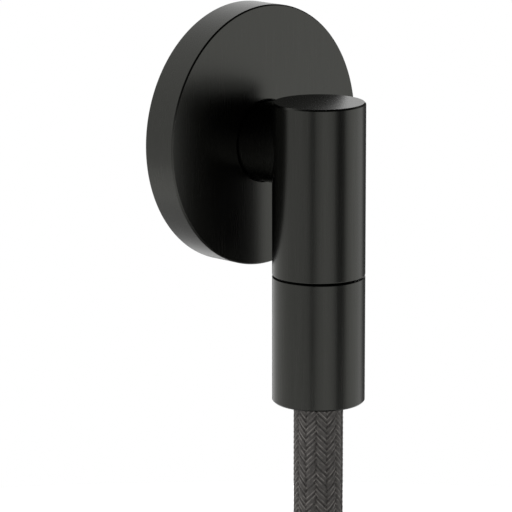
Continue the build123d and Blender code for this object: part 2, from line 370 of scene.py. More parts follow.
def coil_point(index):
    """Point of the route on the coil, counted from where the hose joins it."""
    turn, place = divmod(index, POINTS_PER_TURN)
    angle = FIRST_ANGLE - STEP * index
    y = TAIL_Y.get(index, FIRST_TURN_Y - TURN_SPACING * (turn + SIDE_STEP.get(place, 0)))
    round_coil = POINT_RADIUS * np.array([math.cos(angle), 0, math.sin(angle)])
    return COIL_CENTRE * np.array([1, 0, 1]) + round_coil + np.array([0, y, 0])


route = [OUTLET, STEADY, DROP, SWING] + [coil_point(i) for i in range(LAST_POINT + 1)]
route = np.array(route) * MM


# %% The spline
def hose_curve(name, points, radius):
    """One open spline of order 3 through a list of control points, as a round tube.

    The tube's radius is the points' radius times the bevel's depth. Blender reads the
    points' radius as metres when it works out the curve's box, so the depth is 1.
    """
    data = bpy.data.curves.new(name, "CURVE")
    data.dimensions = "3D"
    spline = data.splines.new("NURBS")
    spline.points.add(len(points) - 1)
    spline.points.foreach_set("co", np.hstack([points, np.ones((len(points), 1))]).ravel())
    spline.points.foreach_set("radius", np.full(len(points), radius))
    spline.order_u = 3
    spline.use_endpoint_u = True
    data.resolution_u = 12
    data.bevel_depth = 1.0
    data.bevel_resolution = 6
    data.use_fill_caps = True
    return new_object(name, data)


def line_of(curve):
    """Points along a curve's own line, read from Blender with the tube switched off."""
    thickness = curve.data.bevel_depth
    curve.data.bevel_depth = 0
    bpy.context.view_layer.update()
    mesh = bpy.data.meshes.new_from_object(curve)
    curve.data.bevel_depth = thickness
    points = np.zeros(len(mesh.vertices) * 3, np.float32)
    mesh.vertices.foreach_get("co", points)
    bpy.data.meshes.remove(mesh)
    return points.reshape(-1, 3).astype(float)


hose_core = hose_curve("hose_core", route, (HOSE_RADIUS - 0.4) * MM)
hose_line = line_of(hose_core)
line_length = length_along(hose_line)
HOSE_LENGTH = line_length[-1]
print("hose line: %d points, %.3f m" % (len(hose_line), HOSE_LENGTH))
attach(hose_core, "outlet")
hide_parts("hose_tube", "hose_coil", "hose_tail")

# %% [markdown]
# ## The woven cover
#
# The cover is a tubular braid of fourteen strands each way, and every strand is a flat
# ribbon of two plied yarns. Each strand passes over two others and under two, which
# lines the crossings up: round the hose there are fourteen columns of short slanted
# floats, leaning left and right in turn, like a herringbone. A bump pattern would look
# flat at the hose's outline, so every float is real geometry: a small leaning patch
# with two ridges that dives at both ends under its neighbours.

# %% Frames along the hose
def hose_frame(distance):
    """Centre and two directions across the hose at distances along it, as arrays.

    The first direction is the room's Y axis made square to the line, the second is
    square to both. The coil never runs along Y, so neither ever flips.
    """
    centre = np.stack([np.interp(distance, line_length, hose_line[:, i]) for i in range(3)], -1)
    slope = np.gradient(hose_line, line_length, axis=0)
    along = np.stack([np.interp(distance, line_length, slope[:, i]) for i in range(3)], -1)
    along /= np.linalg.norm(along, axis=-1, keepdims=True)
    across = np.array([0, 1.0, 0]) - along * along[..., 1:2]
    across /= np.linalg.norm(across, axis=-1, keepdims=True)
    return centre, across, np.cross(along, across)


def on_hose(angle, distance, radius):
    """Points at an angle round the hose, a distance along it and a radius, in metres."""
    centre, across, other = hose_frame(distance)
    outward = np.cos(angle)[..., None] * across + np.sin(angle)[..., None] * other
    return centre + radius[..., None] * outward


# %% The floats of the braid
COLUMNS = 14
COLUMN_WIDTH = TURN * HOSE_RADIUS / COLUMNS         # mm
FLOAT_SPACING = 2.95                                # mm along the hose
YARNS = 2
CREST = 0.15                # mm that the yarns' crests stand above the hose's radius
TUCK = 0.5                  # mm at each end where the floats run out
TUCK_SQUEEZE = 50           # how many times slower a distance grows there
FLOAT_OVERRUN = 1.28        # how far a float runs on, in half columns
ARCH = 0.85                 # mm that a float falls per column width squared
YARN_DEPTH = 0.14           # mm between a yarn's crest and the valley beside it
EDGE_DEPTH = 0.15           # mm that the float's edges lie deeper than its middle
PATCH_ALONG = 4             # four points, so that one face closes each side of a float
PATCH_ACROSS = 4 * YARNS + 1


def tucked(distance):
    """Distances along the hose, squeezed where they run out at either end.

    Past the ferrule's edge a distance hardly grows, so that the last floats end
    together, inside the ferrules.
    """
    low, high = TUCK * MM, HOSE_LENGTH - TUCK * MM
    inside = np.clip(distance, low, high)
    return inside + (distance - inside) / TUCK_SQUEEZE


def braid_piece(name, start, end):
    """Floats of the braid between two distances along the hose, in metres.

    On the flattened hose a float is a sheared patch: x runs over one column, y falls or
    rises by one spacing meanwhile, and v spreads it over one spacing. Its height is a
    low arch along it plus one ridge per yarn. An underside in the hose closes it.
    """
    rows = np.arange(round(start / (FLOAT_SPACING * MM)), round(end / (FLOAT_SPACING * MM)))
    column = np.arange(COLUMNS)
    lean = np.where(column % 2 == 0, -1.0, 1.0)
    u = np.linspace(-1, 1, PATCH_ALONG)
    v = np.linspace(-1, 1, PATCH_ACROSS)
    # one array axis each for rows, columns, along and across
    row = rows[:, None, None, None]
    col = column[None, :, None, None]
    lean = lean[None, :, None, None]
    u = u[None, None, :, None]
    v = v[None, None, None, :]
    x = (col + 0.5 + u * FLOAT_OVERRUN / 2) * COLUMN_WIDTH
    y = (row + 0.5 + lean * 0.25 + lean * u * FLOAT_OVERRUN / 2 + v * 0.5) * FLOAT_SPACING
    arch = -(u * FLOAT_OVERRUN / 2) ** 2
    off_yarn = 2 * (((v + 1) / 2 * YARNS) % 1) - 1
    off_yarn = np.where(np.abs(v) > 0.999, 1.0, off_yarn)
    height = ARCH * arch - YARN_DEPTH * off_yarn ** 2 - EDGE_DEPTH * v ** 4
    height = np.broadcast_to(height, np.broadcast_shapes(x.shape, y.shape))
    angle = np.broadcast_to(x / HOSE_RADIUS, height.shape)
    distance = tucked(np.broadcast_to(y * MM, height.shape))
    points = on_hose(angle, distance, (HOSE_RADIUS + CREST + height) * MM)
    count = len(rows) * COLUMNS
    grid = np.arange(PATCH_ALONG * PATCH_ACROSS).reshape(PATCH_ALONG, PATCH_ACROSS)
    top = np.stack([grid[:-1, :-1], grid[1:, :-1], grid[1:, 1:], grid[:-1, 1:]], -1).reshape(-1, 4)
    under = np.stack([grid[0, :-1], grid[0, 1:], grid[-1, 1:], grid[-1, :-1]], -1)
    sides = np.stack([grid[::-1, 0], grid[:, -1]])
    quads = np.vstack([top, under, sides])[None] + (np.arange(count) * grid.size)[:, None, None]
    mesh = mesh_from_quads(name, points.reshape(-1, 3), quads.reshape(-1, 4))
    seen = np.arange(len(top) + len(under) + len(sides)) < len(top)
    mesh.polygons.foreach_set("use_smooth", np.tile(seen, count))
    yarn_count = (v + 1) / 2 * YARNS
    lay_pattern(mesh, np.broadcast_to(u, height.shape), np.broadcast_to(yarn_count, height.shape))
    return mesh


BRAID_PIECES = 6
braid_pieces = []
for number in range(BRAID_PIECES):
    whole = HOSE_LENGTH + 2 * FLOAT_SPACING * MM
    low, high = (whole * (number + k) / BRAID_PIECES - FLOAT_SPACING * MM for k in (0, 1))
    mesh = braid_piece("hose_braid_%d" % (number + 1), low, high)
    piece = new_object(mesh.name, mesh)
    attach(piece, "outlet")
    braid_pieces.append(piece)
    print(mesh.name, len(mesh.polygons), "faces")

# %% [markdown]
# ## The rosette
#
# A shallow cup, spun or turned from brass. Its front is flat, its edge barely broken,
# and its hole sits a little below the middle, so the rings between the hole and the
# rim are eccentric. Every ring of the profile therefore carries its own rise.

# %% Rosette
ROSETTE_BREAK = 0.35        # the chamfer round its front, in mm
FRONT_THICKNESS, RIM_THICKNESS, SLEEVE_THICKNESS = 1.6, 2.4, 1.7
SLEEVE_START = 1.0          # the sleeve round the neck ends this far from the wall
GASKET_OUTSIDE, GASKET_INSIDE, GASKET_DEPTH = 34.3, 33.1, 1.0
CENTRED_FROM = 30.0         # rings at least this wide lie round the rosette's middle


def rosette_mesh():
    depth, radius = ROSETTE_DEPTH, ROSETTE_RADIUS
    hole = NECK_RADIUS + 0.4
    sleeve, inside, back = hole + SLEEVE_THICKNESS, radius - RIM_THICKNESS, depth - FRONT_THICKNESS
    corners = [
        (hole, SLEEVE_START, 0.15), (hole, depth, 0.12),
        (radius - ROSETTE_BREAK, depth, 0.08), (radius, depth - ROSETTE_BREAK, 0.08), (radius, 0, 0.25),
        (GASKET_OUTSIDE, 0, 0), (GASKET_OUTSIDE, GASKET_DEPTH, 0),
        (GASKET_INSIDE, GASKET_DEPTH, 0), (GASKET_INSIDE, 0, 0),
        (inside, 0, 0.2), (inside, back, 0.6), (sleeve, back, 0.5), (sleeve, SLEEVE_START, 0.3),
    ]
    profile = profile_of(corners)
    off_neck = profile[:, 0] - sleeve - 0.2
    rise = ROSETTE_RISE * np.clip(off_neck / (CENTRED_FROM - sleeve - 0.2), 0, 1)
    return mesh_from_grid("wall_rosette_shell", from_wall(turned(profile, 256, rise)))


rosette = add_piece(rosette_mesh(), "rosette", "wall_rosette")

# %% [markdown]
# ## Elbow and nut
#
# The upright cylinder and the nut are cut from one bar diameter, so only a fine black
# groove parts them. The neck meets the upright in a saddle: where a small cylinder runs
# into a large one, its length at each angle is the stand-off less the depth of the large
# circle there, sqrt(R^2 - (r cos t)^2).

# %% Elbow
EDGE_BREAK = 0.45       # the chamfer that takes the sharpness off the top edge, in mm


def elbow_upright_mesh():
    passage, roof = 6.7, 6.7
    valve, valve_top = 7.5, -9
    nipple, nipple_top = 9.65, -21.2
    corners = [
        (0, BODY_TOP, 0), (0, roof, 0), (passage, roof, 0), (passage, valve_top, 0),
        (valve, valve_top, 0), (valve, nipple_top, 0),
        (nipple, nipple_top, 0), (nipple, BODY_BOTTOM, 0), (BODY_RADIUS, BODY_BOTTOM, 0.2),
        (BODY_RADIUS, BODY_TOP - EDGE_BREAK, 0.1), (BODY_RADIUS - EDGE_BREAK, BODY_TOP, 0.1),
    ]
    profile = profile_of(corners)
    return mesh_from_grid("elbow_upright", under_elbow(turned(profile, 192)))


def elbow_neck_mesh():
    """Tube whose front end follows the saddle, sunk into the upright's wall."""
    bore, start, sunk = 8.45, 2.6, 1.2
    grip_groove, groove_low, groove_high = 9.8, 7.7, 9.3
    front = 100         # marks the front end, which the saddle then puts in its place
    corners = [
        (bore, start, 0.1), (bore, front, 0), (NECK_RADIUS, front, 0),
        (NECK_RADIUS, groove_high, 0), (grip_groove, groove_high, 0), (grip_groove, groove_low, 0),
        (NECK_RADIUS, groove_low, 0), (NECK_RADIUS, start, 0.3),
    ]
    grid = turned(profile_of(corners), 160)
    across = grid[..., 0]
    saddle = STAND_OFF - np.sqrt((BODY_RADIUS - sunk) ** 2 - across ** 2)
    grid[..., 2] = np.where(grid[..., 2] > front / 2, saddle, grid[..., 2])
    return mesh_from_grid("elbow_neck", from_wall(grid))


def round_bar(radius, low, high):
    """A closed cylinder on Z, as a grid in mm, for cutting holes."""
    return turned(np.array([[0, low], [radius, low], [radius, high], [0, high]]), 48)


WATER_BORE = 6.2
SCREW_DEPTH = 5.0           # the clamping screw's distance from the wall
SCREW_RADIUS = 2.03
waterway = mesh_from_grid("waterway", from_wall(round_bar(WATER_BORE, 12.0, STAND_OFF)))
screw_bar = round_bar(SCREW_RADIUS, -13, -7) + np.array([0, -SCREW_DEPTH, 0])
screw_hole = mesh_from_grid("screw_hole", screw_bar * MM)
upright = add_piece(cut_away(elbow_upright_mesh(), waterway), "outlet", "elbow_body")
neck = add_piece(cut_away(elbow_neck_mesh(), screw_hole), "outlet", "elbow_body")


# %% Threads
END_CHAMFER = 1.25          # cuts a little deeper than the thread, as on a real nipple
ROWS_PER_PITCH = 14


def thread_cut(low, high, slack=0.0, free_end=None):
    """Radius of a right-hand G 1/2 thread between two heights.

    The tooth is a rounded wave of the pitch: its crest climbs by one pitch a turn. It
    fades out over half a pitch at both ends, as a cut thread runs out. At a free_end it
    runs on at full depth through a chamfer instead, so that a nut's teeth fit there.
    """
    def radius_of(radius, height, angle):
        phase = height / THREAD_PITCH - angle / TURN
        depth = (THREAD_RADIUS - THREAD_MINOR) * (0.5 - 0.5 * np.cos(TURN * phase))
        from_end = high - height if free_end is not None else np.minimum(height - low, high - height)
        fade = np.clip(from_end / (THREAD_PITCH / 2), 0, 1)
        in_thread = np.abs(radius - THREAD_RADIUS - slack) < 1e-3
        cut = np.where(in_thread, radius - depth * fade, radius + 0 * angle)
        if free_end is not None:
            cut = np.minimum(cut, THREAD_RADIUS - END_CHAMFER + height - free_end)
        return cut
    return radius_of


def thread_rows(radius, low, high):
    """Corners of a straight threaded stretch, close enough together to carry the tooth."""
    steps = int((high - low) / THREAD_PITCH * ROWS_PER_PITCH)
    return [(radius, height, 0) for height in np.linspace(low, high, steps)]


# %% Nut
NUT_SLACK = 0.12        # between the two threads; lets the nut's teeth pass the hose's flange


def hose_nut_mesh():
    passage, bore = 8.6, THREAD_RADIUS + NUT_SLACK
    shoulder = HOSE_END + 15.4
    low, high = NUT_TOP - 13.0, NUT_TOP - 0.6
    corners = [
        (passage, shoulder, 0), (bore, shoulder, 0), *thread_rows(bore, low, high), (bore, NUT_TOP, 0),
        (BODY_RADIUS, NUT_TOP, 0.2),
        (BODY_RADIUS, NUT_BOTTOM + EDGE_BREAK, 0.1), (BODY_RADIUS - EDGE_BREAK, NUT_BOTTOM, 0.1),
        (passage, NUT_BOTTOM, 0.3),
    ]
    grid = turned(profile_of(corners), 192, 0, thread_cut(low, high, NUT_SLACK))
    return mesh_from_grid("hose_nut_sleeve", under_elbow(grid))


nut = add_piece(hose_nut_mesh(), "nut", "hose_nut")

# %% [markdown]
# ## Nipples
#
# Two brass nipples carry the threads. One screws into the wall and holds the elbow on a
# spigot with two ring grooves, and its bore is a hexagon for the fitter's key. The other
# is screwed up into the elbow and ends in the thread for the hose. A real thread catches
# light on every turn, so it is cut into the profile instead of being painted on: each
# row of points is moved inwards by the depth of the tooth at its own height and angle.

# %% Wall nipple
KEY_APOTHEM = 5.0
THREAD_CHAMFER = 0.8


def wall_nipple_mesh():
    bore, tip, spigot, flange = 4.6, 7.4, 8.4, 10.7
    mouth, thread_end, flange_top, end, key_end = -14.2, -12, 2.5, 19.0, 12.0
    screw_groove, screw_low, screw_high = 7.4, 2.9, 7.1
    ring_groove, ring_half = 7.2, 0.9
    low, high = thread_end + THREAD_CHAMFER, -0.4
    grooves = [
        (spigot, flange_top, 0), (spigot, screw_low, 0), (screw_groove, screw_low, 0),
        (screw_groove, screw_high, 0), (spigot, screw_high, 0),
    ]
    for middle in (11.6, 15.6):
        below, above = middle - ring_half, middle + ring_half
        grooves += [(spigot, below, 0.1), (ring_groove, below, 0)]
        grooves += [(ring_groove, above, 0), (spigot, above, 0.1)]
    corners = [
        (bore, mouth, 0.3), (tip, mouth, 0.3), (tip, thread_end, 0),
        (THREAD_RADIUS - THREAD_CHAMFER, thread_end, 0), *thread_rows(THREAD_RADIUS, low, high),
        (THREAD_RADIUS, 0, 0), (flange, 0, 0.1), (flange, flange_top, 0.2), *grooves,
        (spigot, end - 0.6, 0), (spigot - 0.6, end, 0), (KEY_APOTHEM + 0.9, end, 0),
        (KEY_APOTHEM, end - 0.01, 0), (KEY_APOTHEM, key_end, 0), (bore, key_end, 0),
    ]
    thread = thread_cut(low, high)

    def radius_of(radius, height, angle):
        """The thread outside, and inside a hexagon, apothem / cos(angle off a flat's middle)."""
        off_flat = (angle + TURN / 12) % (TURN / 6) - TURN / 12
        in_key = np.abs(radius - KEY_APOTHEM) < 1e-3
        return np.where(in_key, KEY_APOTHEM / np.cos(off_flat), thread(radius, height, angle))

    grid = turned(profile_of(corners), 144, 0, radius_of)
    return mesh_from_grid("wall_nipple_turned", from_wall(grid))


wall_nipple = add_piece(wall_nipple_mesh(), "outlet", "wall_nipple")


# %% Outlet nipple
OUTLET_END = NUT_TOP - 11.65


def outlet_nipple_mesh():
    passage, shank, groove, neck = 6.0, 9.62, 8.3, 9.35
    top, groove_high, groove_low, shank_low = BODY_BOTTOM + 12.25, -28.4, -30.4, BODY_BOTTOM + 0.02
    low, high = OUTLET_END + 0.12, NUT_TOP - 0.5
    corners = [
        (passage, OUTLET_END, 0.3), (THREAD_RADIUS - END_CHAMFER, OUTLET_END, 0),
        *thread_rows(THREAD_RADIUS, low, high), (neck, high + 0.15, 0), (neck, shank_low, 0),
        (shank, shank_low, 0), (shank, groove_low, 0), (groove, groove_low, 0),
        (groove, groove_high, 0), (shank, groove_high, 0), (shank, top, 0.3), (passage, top, 0.3),
    ]
    grid = turned(profile_of(corners), 144, 0, thread_cut(low, high, free_end=OUTLET_END))
    return mesh_from_grid("outlet_nipple_turned", under_elbow(grid))


outlet_nipple = add_piece(outlet_nipple_mesh(), "outlet", "outlet_nipple")

# %% [markdown]
# ## The check valve's spring
#
# Inside the elbow a small spring keeps the check valve shut. Its end turns lie flat and
# the others climb evenly. It stands on the guide and shortens as the valve opens; here
# it spans the height of the engineering model's spring.

# %% Spring
SPRING_WIRE = 0.25          # radius, in mm
SPRING_COIL = 1.9
SPRING_TURNS = 6


def spring_mesh(low, high):
    """Helix of round wire between two heights, with a closed turn at each end."""
    flat_turn = 2 * SPRING_WIRE + 0.02
    height = high - low - 2 * SPRING_WIRE
    turn = np.linspace(0, SPRING_TURNS, SPRING_TURNS * 32 + 1)
    turns_at = [0, 1, SPRING_TURNS - 1, SPRING_TURNS]
    climb = np.interp(turn, turns_at, [0, flat_turn, height - flat_turn, height])
    angle = turn[:, None] * TURN
    round_wire = np.linspace(0, TURN, 10, endpoint=False)[None, :]
    radius = SPRING_COIL + SPRING_WIRE * np.cos(round_wire)
    z = low + SPRING_WIRE + climb[:, None] + SPRING_WIRE * np.sin(round_wire)
    grid = np.stack([radius * np.cos(angle), radius * np.sin(angle), z], -1)
    return capped_tube("valve_spring", under_elbow(grid), turn, round_wire[0] / TURN)


spring_low, spring_high = span("check_valve_spring", 2)
spring = add_piece(spring_mesh(spring_low, spring_high), "outlet", "check_valve_spring")
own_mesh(spring)

# %% [markdown]
# ## The hose's far end
#
# The far end carries the usual cone-shaped nut that screws onto a hand shower. It is
# turned upright like everything else and then laid along the hose's last direction: a
# frame of three directions at the end of the route carries each point to its place.

# %% Hand-shower nut
FAR_END = coil_point(LAST_POINT)
FAR_HEADING = FAR_END - coil_point(LAST_POINT - 1)
FAR_HEADING /= np.linalg.norm(FAR_HEADING)


def at_far_end(grid):
    """A grid built along Z, in mm, laid along the hose's last direction."""
    side = np.cross(FAR_HEADING, [0, 1, 0])
    side /= np.linalg.norm(side)
    other = np.cross(FAR_HEADING, side)
    return (FAR_END + grid[..., :1] * side + grid[..., 1:2] * other + grid[..., 2:] * FAR_HEADING) * MM


def hand_shower_nut_mesh():
    passage, pocket, small, large = 8.6, 10.1, 9.9, 12.2
    low, shoulder, thread_low, high = 5.0, 15.4, 20.9, 33.0
    slack = 0.06
    bore = THREAD_RADIUS + slack
    start, stop = thread_low + 0.6, high - THREAD_CHAMFER
    corners = [
        (passage, low, 0.3), (passage, shoulder, 0), (pocket, shoulder, 0), (pocket, thread_low, 0),
        *thread_rows(bore, start, stop), (bore + 0.4, high, 0), (large, high, 0.4), (large, high - 6, 0),
        (small, low, 0.5),
    ]
    grid = turned(profile_of(corners), 144, 0, thread_cut(start, stop, slack))
    return mesh_from_grid("hand_shower_cone", at_far_end(grid))


hand_nut = add_piece(hand_shower_nut_mesh(), "hand_nut", "hand_shower_nut")

# %% [markdown]
# ## Straps round the coil
#
# Two hook-and-loop straps hold the spare turns together. A strap is a thin band that
# goes once round the bundle and on over its own start. Its path is a rounded rectangle
# followed at a steady pace, and a slow step outwards by one thickness lets its end lie
# on top of its start.

# %% Strap shapes
STRAP_WIDTH = 12.0
STRAP_THICKNESS = 1.1
STRAP_OVERLAP = 20.0
STRAP_LIFT_RUN = 8.0        # the length over which its end climbs on top of its start
COIL_TURNS = 3
COIL_DEPTH = (COIL_TURNS - 1) * TURN_SPACING + 2 * HOSE_RADIUS
COIL_MIDDLE_Y = FIRST_TURN_Y - (COIL_TURNS - 1) * TURN_SPACING / 2


def rounded_rectangle(half_width, half_depth, radius):
    """Points round a rounded rectangle, their outward normals and the length so far."""
    turn = np.linspace(0, TURN, 1600, endpoint=False)
    normal = np.stack([np.cos(turn), np.sin(turn)], -1)
    straight = np.array([half_width - radius, half_depth - radius])
    points = np.sign(normal) * straight + normal * radius
    closed = np.vstack([points, points[:1]])
    return closed, np.vstack([normal, normal[:1]]), length_along(closed)


def strap_mesh(name, angle, front):
    """Strap at an angle round the coil, let out at the front to hold one more hose.

    Each row is the strap's section, a flat rounded bar; each column runs round the
    bundle. Past one full round the section is lifted by one thickness.
    """
    half_width, half_depth = HOSE_RADIUS + 0.7, (COIL_DEPTH + 0.8 + front) / 2
    path, normals, length = rounded_rectangle(half_width, half_depth, HOSE_RADIUS)
    run = np.linspace(0, length[-1] + STRAP_OVERLAP, 260)
    along = run % length[-1]
    centre = np.stack([np.interp(along, length, path[:, i]) for i in (0, 1)], -1)
    outward = np.stack([np.interp(along, length, normals[:, i]) for i in (0, 1)], -1)
    outward /= np.linalg.norm(outward, axis=1, keepdims=True)
    climbed = np.clip((run - length[-1] + STRAP_LIFT_RUN) / STRAP_LIFT_RUN, 0, 1)
    lift = climbed * climbed * (3 - 2 * climbed) * (STRAP_THICKNESS + 0.12)
    half, thin, edge = STRAP_WIDTH / 2, STRAP_THICKNESS / 2, 0.35
    section = profile_of([(-half, -thin, edge), (half, -thin, edge), (half, thin, edge), (-half, thin, edge)])
    off = thin + 0.05 + lift[:, None] + section[None, :, 1]
    across = np.broadcast_to(section[None, :, 0], off.shape)
    flat = centre[:, None, :] + outward[:, None, :] * off[..., None]
    # radial from the coil's centre, along the hose, and towards the room
    radial, towards_room = COIL_RADIUS + flat[..., 0], flat[..., 1] + front / 2
    x = COIL_CENTRE[0] + radial * math.cos(angle) + across * -math.sin(angle)
    z = COIL_CENTRE[2] + radial * math.sin(angle) + across * math.cos(angle)
    grid = np.stack([x, COIL_MIDDLE_Y - towards_room, z], -1) * MM
    return capped_tube(name, grid, run / STRAP_WIDTH, section[:, 0] / STRAP_WIDTH)


TAIL_FRONT = -TAIL_Y[37] + HOSE_RADIUS - (-COIL_MIDDLE_Y + COIL_DEPTH / 2)
straps = [
    add_piece(strap_mesh("strap_low", math.radians(-95), 0.0), "outlet", "coil_tie_low"),
    add_piece(strap_mesh("strap_side", math.radians(30), TAIL_FRONT), "outlet", "coil_tie_side"),
]

# %% [markdown]
# ## The hose as a whole
#
# Core, cover, straps and far end are one thing to whoever moves it. Core, cover and
# straps ride on the outlet here, and the far end's nut on a body of its own.

# %% [markdown]
# ## Finishes
#
# Each finish is one material, made from a Principled shader and a little noise in the
# object's own coordinates, so the grain stays on the piece when it moves. Small helpers
# make the shader, add a node, blend two colours, and add a noise that can be stretched
# along an axis, which is all that brushing is.

# %% Shader helpers
MIX_ONE, MIX_OTHER, MIX_RESULT = 6, 7, 2        # the colour sockets of a Mix node


def new_finish(name, colour, roughness, metallic=0.0):
    """A Principled material in one colour. Returns the material and its shader node."""
    material = bpy.data.materials.new(name)
    material.use_nodes = True
    shader = material.node_tree.nodes["Principled BSDF"]
    shader.inputs["Base Color"].default_value = (*colour, 1)
    shader.inputs["Roughness"].default_value = roughness
    shader.inputs["Metallic"].default_value = metallic
    return material, shader


def add_node(material, kind, operation=None, **values):
    """A node of a material's or the world's, with some of its inputs set."""
    node = material.node_tree.nodes.new("ShaderNode" + kind)
    if operation:
        node.operation = operation
    for name, value in values.items():
        node.inputs[name.replace("_", " ")].default_value = value
    return node


def wire(material, value, target):
    """Lead another node's output into an input, or set it to a plain value."""
    if isinstance(value, bpy.types.NodeSocket):
        material.node_tree.links.new(value, target)
    else:
        target.default_value = value


def sum_of(material, operation, *values):
    """Result of a Math node."""
    node = add_node(material, "Math", operation)
    for value, target in zip(values, node.inputs):
        wire(material, value, target)
    return node.outputs["Value"]


def ranged(material, value, start, end, low=0.0, high=1.0):
    """A value carried from one range of numbers to another, and kept inside it."""
    node = add_node(material, "MapRange", From_Min=start, From_Max=end, To_Min=low, To_Max=high)
    wire(material, value, node.inputs["Value"])
    return node.outputs["Result"]


def blend(material, share, one, other):
    """One colour where the share is 0 and the other where it is 1."""
    mix = add_node(material, "Mix")
    mix.data_type = "RGBA"
    wire(material, share, mix.inputs["Factor"])
    wire(material, one, mix.inputs[MIX_ONE])
    wire(material, other, mix.inputs[MIX_OTHER])
    return mix.outputs[MIX_RESULT]


def along_axis(material, source, axis):
    """One coordinate of a place on the object or on its map."""
    place = add_node(material, "TexCoord")
    split = add_node(material, "SeparateXYZ")
    wire(material, place.outputs[source], split.inputs["Vector"])
    return split.outputs[axis]


def stretched_noise(material, stretch, detail):
    """Noise whose grains are 1/stretch metres long along each axis."""
    place = add_node(material, "TexCoord")
    mapping = add_node(material, "Mapping", Scale=stretch)
    noise = add_node(material, "TexNoise", Scale=1.0, Detail=detail)
    wire(material, place.outputs["Object"], mapping.inputs["Vector"])
    wire(material, mapping.outputs["Vector"], noise.inputs["Vector"])
    return noise.outputs["Fac"]


def vary_roughness(material, shader, value, low, high):
    """Roughness between two limits, following a noise that seldom leaves 0.25 to 0.75."""
    wire(material, ranged(material, value, 0.25, 0.75, low, high), shader.inputs["Roughness"])


def shade_colour(material, value, dark, light):
    """A 0 to 1 value carried to a blend of two colours."""
    ramp = add_node(material, "ValToRGB")
    for element, position, colour in zip(ramp.color_ramp.elements, (0.3, 0.7), (dark, light)):
        element.position = position
        element.color = (*colour, 1)
    wire(material, value, ramp.inputs["Fac"])
    return ramp.outputs["Color"]


def relief(material, shader, value, height):
    """Bump of this height in metres."""
    bump = add_node(material, "Bump", Strength=1.0, Distance=height)
    wire(material, value, bump.inputs["Height"])
    wire(material, bump.outputs["Normal"], shader.inputs["Normal"])


# %% Finish of the outlet
BRUSHING = (2600, 2600, 60)     # streaks a metre: fine across, long upwards


def brushed_black_finish():
    """Dark coating over vertical brushing: a weak mirror with fine upright streaks."""
    material, shader = new_finish("brushed black coating", (0.062, 0.061, 0.057), 0.24, 1.0)
    streaks = stretched_noise(material, BRUSHING, 4.0)
    colour = shade_colour(material, streaks, (0.0523, 0.0529, 0.0484), (0.0577, 0.0583, 0.0538))
    wire(material, colour, shader.inputs["Base Color"])
    vary_roughness(material, shader, streaks, 0.25, 0.28)
    relief(material, shader, streaks, 0.0000004)
    return material


brushed_black = brushed_black_finish()
for piece in (rosette, upright, neck, nut, hand_nut):
    piece.data.materials.append(brushed_black)


# %% Finish of the hose
# The dark colours are the yarn's own tones; the light colour is a painted highlight on the yarns' crests. Of
# the two grain sizes, the first sets the patches where that painted highlight dims, the second the yarn's own
# grain.
YARN_DARK = (0.107, 0.101, 0.096), (0.147, 0.139, 0.132)
YARN_CREST_HIGHLIGHT = (0.29, 0.273, 0.257)
YARN_HIGHLIGHT_PATCHES, YARN_GRAIN = (560, 560, 560), (1500, 1500, 1500)     # grains a metre


def braid_finish():
    """Dyed polyester yarn, dull and slightly warm, with a painted highlight along each crest.

    The map's V counts yarns across a float, so the distance from V to the nearest whole
    number is 0 in a valley and 0.5 on a crest.
    """
    material, shader = new_finish("braid yarn", (0.07, 0.066, 0.06), 0.65)
    crest = sum_of(material, "PINGPONG", along_axis(material, "UV", "Y"), 0.5)
    # painted highlight: the colour turns light along each yarn's crest, where the yarn would catch the light
    line = ranged(material, crest, 0.29, 0.45)
    # a noise dims the painted crest highlight in patches, so some lines shine and others fade
    highlight_patches = ranged(material, stretched_noise(material, YARN_HIGHLIGHT_PATCHES, 2.0), 0.40, 0.60)
    dark = shade_colour(material, stretched_noise(material, YARN_GRAIN, 2.0), *YARN_DARK)
    share = sum_of(material, "MULTIPLY", line, highlight_patches)
    wire(material, blend(material, share, dark, (*YARN_CREST_HIGHLIGHT, 1)), shader.inputs["Base Color"])
    shader.inputs["Specular IOR Level"].default_value = 0.12
    return material


hose_rubber_finish, _ = new_finish("hose rubber", (0.02, 0.019, 0.018), 0.7)
hose_core.data.materials.append(hose_rubber_finish)
braid_yarn = braid_finish()
for piece in braid_pieces:
    piece.data.materials.append(braid_yarn)

# %% [markdown]
# ## The small parts
#
# Behind the black shell are brass, steel, rubber and white plastic. Each has its own
# grain: the cutting tool's rings on brass, drawn lines on steel, a dull bloom on rubber,
# pores in the foam, and the faint orange skin of moulded plastic.

# %% Brass, steel and rubber
def brass_finish(name, coated_above=None):
    """Turned brass. Above a height, in metres, it went through the black coating too."""
    material, shader = new_finish(name, (0.78, 0.57, 0.26), 0.3, 1.0)
    rings = stretched_noise(material, (300, 300, 9000), 3.0)
    colour = shade_colour(material, rings, (0.70, 0.49, 0.21), (0.86, 0.65, 0.32))
    vary_roughness(material, shader, rings, 0.22, 0.36)
    if coated_above is not None:
        coat = ranged(material, along_axis(material, "Object", "Z"), coated_above - 0.0002, coated_above)
        colour = blend(material, coat, colour, (0.02, 0.02, 0.018, 1))
    wire(material, colour, shader.inputs["Base Color"])
    return material


def steel_finish():
    material, shader = new_finish("bright steel", (0.62, 0.62, 0.60), 0.2, 1.0)
    lines = stretched_noise(material, (4000, 4000, 400), 3.0)
    colour = shade_colour(material, lines, (0.56, 0.56, 0.55), (0.68, 0.68, 0.66))
    wire(material, colour, shader.inputs["Base Color"])
    vary_roughness(material, shader, lines, 0.15, 0.30)
    relief(material, shader, lines, 0.000002)
    return material


def soft_finish(name, dark, light, roughness, grain, height):
    """Rubber, foam or moulded plastic: two tones of one colour and a fine relief."""
    material, shader = new_finish(name, dark, roughness)
    skin = stretched_noise(material, (grain, grain, grain), 4.0)
    wire(material, shade_colour(material, skin, dark, light), shader.inputs["Base Color"])
    vary_roughness(material, shader, skin, roughness - 0.08, roughness + 0.08)
    relief(material, shader, skin, height)
    return material


